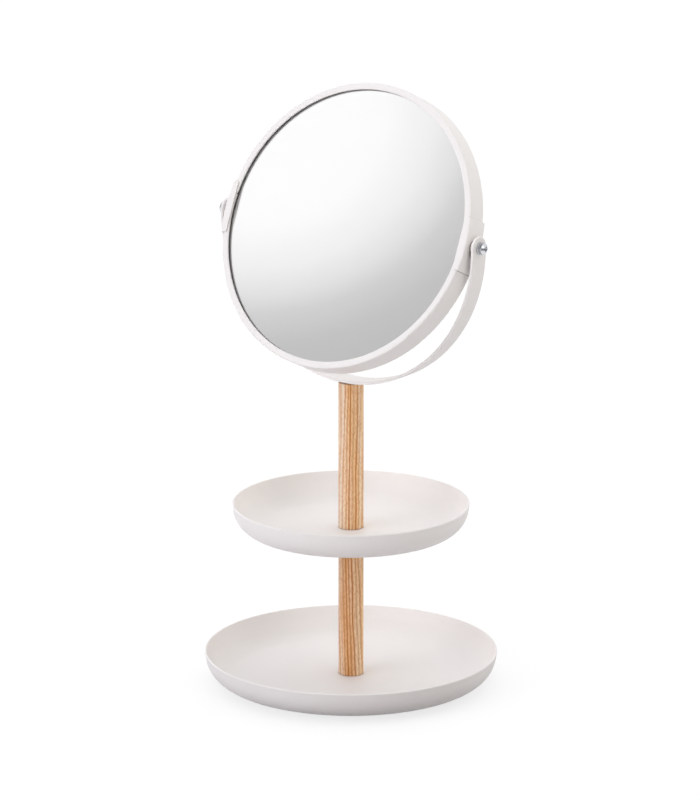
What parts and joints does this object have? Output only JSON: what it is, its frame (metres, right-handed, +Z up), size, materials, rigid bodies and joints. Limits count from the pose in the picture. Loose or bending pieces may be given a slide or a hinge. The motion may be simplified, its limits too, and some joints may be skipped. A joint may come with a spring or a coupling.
{
  "type": "vanity mirror",
  "caption": "Round vanity mirror that tilts in a half-ring yoke, on a wooden post through stacked dished trays for small items.",
  "frame": {"origin": "centre of the base, on the surface it stands on", "axes": "+Z up, the mirror faces -Y and leans back towards +Y, the tilt axis runs along X"},
  "size_m": [0.1918, 0.175, 0.358],
  "materials": {
    "white_powder_coat": "matte fine-texture powder coat on sheet steel",
    "silvered_glass": "silvered float glass with a ground edge",
    "fibre_board": "raw board, hidden",
    "pale_ash_wood": "clear matt lacquer on straight-grained wood",
    "zinc_steel": "bright zinc plate",
    "brass": "turned brass, hidden",
    "nylon": "natural nylon",
    "clear_rubber": "soft translucent bumper"
  },
  "bodies": {
    "stand": {"yoke": "white_powder_coat", "yoke_stud": "zinc_steel", "upper_post": "pale_ash_wood", "upper_post_top_insert": "brass", "upper_post_bottom_insert": "brass", "tray_stud": "zinc_steel", "upper_tray": "white_powder_coat", "lower_post": "pale_ash_wood", "lower_post_top_insert": "brass", "lower_post_bottom_insert": "brass", "lower_tray": "white_powder_coat", "base_washer": "zinc_steel", "base_screw": "zinc_steel", "foot_pads": "clear_rubber"},
    "mirror": {"ring_frame": "white_powder_coat", "mirror_glass": "silvered_glass", "packing_disc": "fibre_board", "back_plate": "white_powder_coat", "pivot_clip_left": "white_powder_coat", "pivot_nut_left": "zinc_steel", "pivot_spacer_left": "nylon", "flat_washer_left": "zinc_steel", "lock_washer_left": "zinc_steel", "pivot_screw_left": "zinc_steel", "pivot_clip_right": "white_powder_coat", "pivot_nut_right": "zinc_steel", "pivot_spacer_right": "nylon", "flat_washer_right": "zinc_steel", "lock_washer_right": "zinc_steel", "pivot_screw_right": "zinc_steel"}
  },
  "joints": [
    {"name": "mirror_tilt", "type": "hinge", "parent": "stand", "child": "mirror", "pos_m": [0, 0, 0.27698], "axis": [1, 0, 0], "continuous": true}
  ]
}
